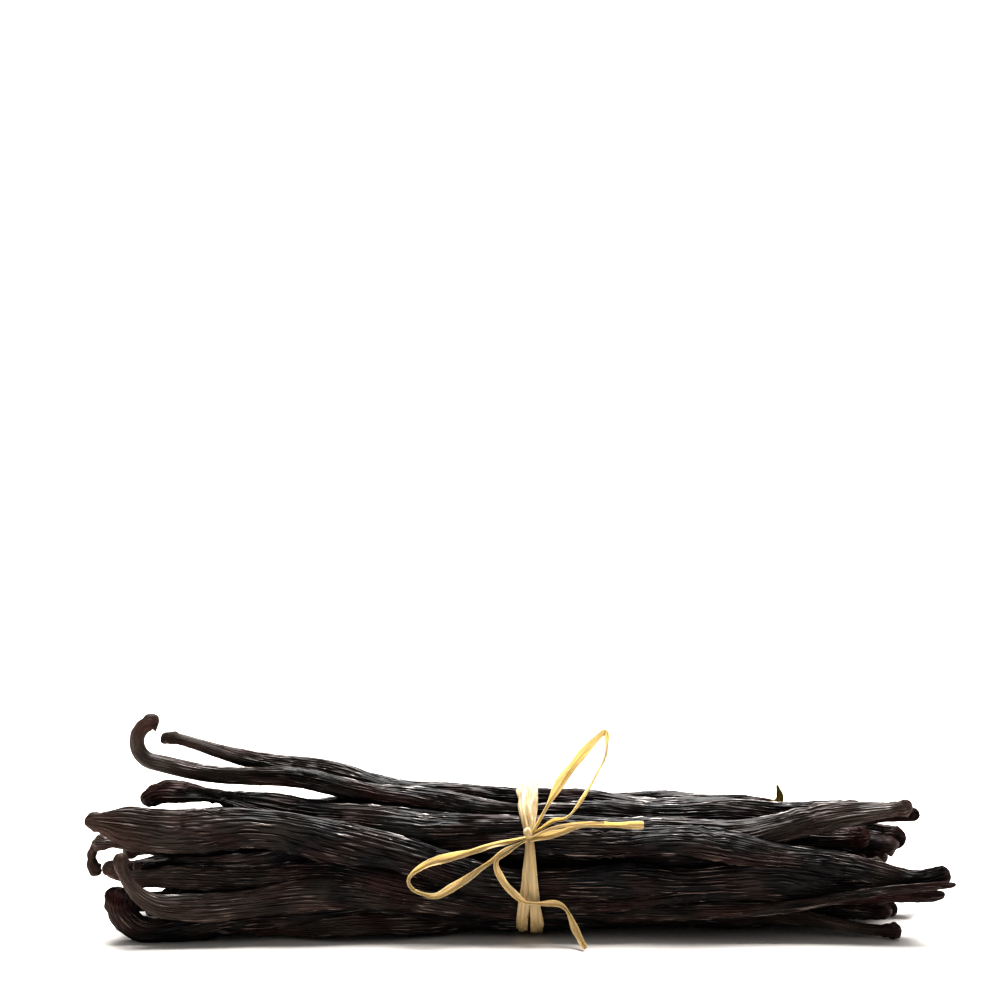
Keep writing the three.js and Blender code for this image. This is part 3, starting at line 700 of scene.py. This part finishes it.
class VanillaRaffiaSettings(bpy.types.PropertyGroup):
    """Colours of the raffia"""

    pale_colour: colour_property("Pale", "#bda985", "Colour of the lightest fibres")
    straw_colour: colour_property("Straw", "#aa8f65", "Colour of most of the strip")
    # Tan stains, and painted shade in the folds
    tan_colour: colour_property("Tan", "#8a6842", "Colour in the folds")


class VanillaStageSettings(bpy.types.PropertyGroup):
    """The floor, the light and the camera"""

    floor_colour: colour_property("Floor", "#e8e4e0", "Colour of the floor")
    light_strength: bpy.props.FloatProperty(
        name="Light", description="Strength of the soft overhead light", default=4.8, min=0)
    room_strength: bpy.props.FloatProperty(
        name="Room", description="Brightness of the room in front and above", default=0.32, min=0)
    soft_strength: bpy.props.FloatProperty(
        name="Soft lamp", description="Brightness of the wide lamp above and behind", default=10.0, min=0)
    light_angle: bpy.props.FloatProperty(
        name="Light size", description="How wide the soft light looks from the floor", default=np.radians(32),
        subtype="ANGLE")


class VANILLA_OT_shown_pods(bpy.types.Operator):
    """Adds the pods that show along their length"""

    bl_idname = "vanilla.shown_pods"
    bl_label = "Shown pods"

    def execute(self, context):
        look = context.scene.vanilla_pods
        skin = shared(cured_pod_skin, look)
        for index, pod in enumerate(SHOWN):
            grid, numbers, vectors = pod_grid(pod, index, look, SHOWN_GRID)
            keep(put_mesh(f"pod_{index + 1:02d}", grid, skin, numbers, vectors), "pod_bundle")
        return {"FINISHED"}


class VANILLA_OT_inner_pods(bpy.types.Operator):
    """Adds the pods inside the bundle, which show at their ends"""

    bl_idname = "vanilla.inner_pods"
    bl_label = "Inner pods"

    def execute(self, context):
        look = context.scene.vanilla_pods
        skin = shared(cured_pod_skin, look)
        for index, pod in enumerate(inner_pods(), len(SHOWN)):
            grid, numbers, vectors = pod_grid(pod, index, look, INNER_GRID)
            keep(put_mesh(f"pod_{index + 1:02d}", grid, skin, numbers, vectors), "pod_bundle")
        return {"FINISHED"}


class VANILLA_OT_raffia_bands(bpy.types.Operator):
    """Adds the turns of raffia round the waist: gathered at the knot, side by side below, one on top"""

    bl_idname = "vanilla.raffia_bands"
    bl_label = "Raffia bands"

    def execute(self, context):
        straw = shared(raffia_fibre, context.scene.vanilla_raffia)
        for side, name in ((-1, "raffia_band_left"), (1, "raffia_band_right")):
            from_knot = np.linspace(0, 360, 240)
            degrees = KNOT_ANGLE + from_knot
            gap = WRAP_GAP + WRAP_STEP * (side > 0)
            line = on_oval(degrees, WAIST_HALF_DEPTH + gap, WAIST_HALF_HEIGHT + gap)
            (over_from, over_to), (under_from, under_to) = BAND_OVER, BAND_UNDER
            over = smooth(*over_from, from_knot) - smooth(*over_to, from_knot)
            under = smooth(*under_to, 360 - from_knot) * smooth(*under_from, from_knot)
            gained = lambda at_knot, above, below: at_knot + above * over + below * under
            line[:, 0] += side * gained(*BAND_APART) - BAND_SHIFT * over
            facing = np.array([1.0, 0, 0])
            grid, numbers, vectors = ribbon_grid(
                line, facing, gained(*BAND_WIDTH), BAND_FOLDS, NO_ROLL, BAND_SEED + side, BAND_PLEAT)
            keep(put_mesh(name, grid, straw, numbers, vectors), "raffia_tie")
        return {"FINISHED"}


class VANILLA_OT_raffia_bow(bpy.types.Operator):
    """Adds the two loops and the two loose ends of the bow"""

    bl_idname = "vanilla.raffia_bow"
    bl_label = "Raffia bow"

    def execute(self, context):
        straw = shared(raffia_fibre, context.scene.vanilla_raffia)
        for index, (name, points) in enumerate(BOW.items()):
            line = curve_through(points, BOW_STEPS)
            facing = np.cross([0, -1.0, 0], unit(line[1] - line[0]))
            grid, numbers, vectors = ribbon_grid(line, facing, *STRANDS[name], BOW_SEED + index, BOW_PLEAT)
            keep(put_mesh("raffia_" + name, grid, straw, numbers, vectors), "raffia_tie")
        return {"FINISHED"}


class VANILLA_OT_raffia_knot(bpy.types.Operator):
    """Adds the knot: a strip wound round the strands where they cross, with its ends tucked in"""

    bl_idname = "vanilla.raffia_knot"
    bl_label = "Raffia knot"

    def execute(self, context):
        straw = shared(raffia_fibre, context.scene.vanilla_raffia)
        knot_at = np.array([KNOT_ANGLE])
        centre = on_oval(knot_at, WAIST_HALF_DEPTH + KNOT_OUT, WAIST_HALF_HEIGHT + KNOT_OUT)[0]
        slope = unit(np.array(KNOT_SLOPE))
        side = unit(np.cross(slope, [0, -1.0, 0]))
        front = np.cross(side, slope)
        for name, (start, turns, radius, shift) in KNOT_STRIPS.items():
            turn = TURN * (start + np.linspace(0, turns, 120)[:, None])
            line = centre + radius * (np.cos(turn) * side + np.sin(turn) * front)
            line = line + (turn / TURN - turns / 2 - start) * shift * slope
            grid, numbers, vectors = ribbon_grid(
                line, slope, KNOT_WIDTHS, KNOT_FOLDS, NO_ROLL, KNOT_SEED, KNOT_PLEAT)
            keep(put_mesh(name, grid, straw, numbers, vectors), "raffia_tie")
        return {"FINISHED"}


class VANILLA_OT_stage(bpy.types.Operator):
    """Adds the floor, the soft light and the camera at the photograph's place"""

    bl_idname = "vanilla.stage"
    bl_label = "Stage"

    def execute(self, context):
        scene, look = context.scene, context.scene.vanilla_stage
        mesh = bpy.data.meshes.new("floor")
        corners = [(x * FLOOR_HALF, y * FLOOR_HALF, 0) for x, y in ((-1, -1), (1, -1), (1, 1), (-1, 1))]
        mesh.from_pydata(corners, [], [(0, 1, 2, 3)])
        mesh.materials.append(shared(painted_floor, look))
        floor = bpy.data.objects.new("floor", mesh)
        scene.collection.objects.link(floor)

        light = bpy.data.lights.new("overhead", "SUN")
        light.energy = look.light_strength
        light.angle = look.light_angle
        light.color = LIGHT_COLOUR
        lamp = bpy.data.objects.new("overhead", light)
        lamp.rotation_euler = np.radians(LIGHT_TURN)
        scene.collection.objects.link(lamp)

        # a white wall behind, and a dimmer room in front and above
        world = bpy.data.worlds.new("white_room")
        world.use_nodes = True
        nodes, links = world.node_tree.nodes, world.node_tree.links
        place = nodes.new("ShaderNodeTexCoord")
        parts = nodes.new("ShaderNodeSeparateXYZ")
        links.new(place.outputs["Generated"], parts.inputs[0])
        behind = nodes.new("ShaderNodeMapRange")
        behind.inputs["From Min"].default_value = WALL_EDGE[0]
        behind.inputs["From Max"].default_value = WALL_EDGE[1]
        behind.inputs["To Min"].default_value = look.room_strength
        behind.inputs["To Max"].default_value = WALL_STRENGTH
        links.new(parts.outputs["Y"], behind.inputs["Value"])
        # a wide soft lamp, above and behind
        toward = nodes.new("ShaderNodeVectorMath")
        toward.operation = "DOT_PRODUCT"
        toward.inputs[1].default_value = SOFT_LAMP_AT
        links.new(place.outputs["Generated"], toward.inputs[0])
        lamp_edge = nodes.new("ShaderNodeMapRange")
        lamp_edge.inputs["From Min"].default_value = SOFT_LAMP_EDGE[0]
        lamp_edge.inputs["From Max"].default_value = SOFT_LAMP_EDGE[1]
        lamp_edge.inputs["To Max"].default_value = look.soft_strength
        links.new(toward.outputs["Value"], lamp_edge.inputs["Value"])
        whole = nodes.new("ShaderNodeMath")
        links.new(behind.outputs[0], whole.inputs[0])
        links.new(lamp_edge.outputs[0], whole.inputs[1])
        links.new(whole.outputs[0], nodes["Background"].inputs["Strength"])
        nodes["Background"].inputs["Color"].default_value = (1, 1, 1, 1)
        scene.world = world
        scene.view_settings.view_transform = "Standard"
        scene.view_settings.look = "High Contrast"

        camera = bpy.data.cameras.new("camera")
        camera.lens = CAMERA_LENS
        holder = bpy.data.objects.new("camera", camera)
        holder.location = np.array(CAMERA_PLACE) * MM
        holder.rotation_euler = (np.radians(90 - CAMERA_PITCH), 0, 0)
        scene.collection.objects.link(holder)
        scene.camera = holder
        return {"FINISHED"}


OPERATORS = (
    VANILLA_OT_shown_pods,
    VANILLA_OT_inner_pods,
    VANILLA_OT_raffia_bands,
    VANILLA_OT_raffia_bow,
    VANILLA_OT_raffia_knot,
    VANILLA_OT_stage,
)


class VANILLA_PT_bundle(bpy.types.Panel):
    """Lists the pieces of the bundle"""

    bl_idname = "VANILLA_PT_bundle"
    bl_label = "Vanilla pod bundle"
    bl_space_type = "VIEW_3D"
    bl_region_type = "UI"
    bl_category = "Vanilla"

    def draw(self, context):
        for operator in OPERATORS:
            self.layout.operator(operator.bl_idname)
        scene = context.scene
        for settings in (scene.vanilla_pods, scene.vanilla_raffia, scene.vanilla_stage):
            for key in settings.__annotations__:
                self.layout.prop(settings, key)


CLASSES = (VanillaPodSettings, VanillaRaffiaSettings, VanillaStageSettings, *OPERATORS, VANILLA_PT_bundle)


def register():
    for cls in CLASSES:
        bpy.utils.register_class(cls)
    bpy.types.Scene.vanilla_pods = bpy.props.PointerProperty(type=VanillaPodSettings)
    bpy.types.Scene.vanilla_raffia = bpy.props.PointerProperty(type=VanillaRaffiaSettings)
    bpy.types.Scene.vanilla_stage = bpy.props.PointerProperty(type=VanillaStageSettings)


def unregister():
    for key in ("vanilla_pods", "vanilla_raffia", "vanilla_stage"):
        delattr(bpy.types.Scene, key)
    for cls in reversed(CLASSES):
        bpy.utils.unregister_class(cls)


def main():
    register()
    for operator in OPERATORS:
        group, name = operator.bl_idname.split(".")
        getattr(getattr(bpy.ops, group), name)()


if __name__ == "__main__":
    main()
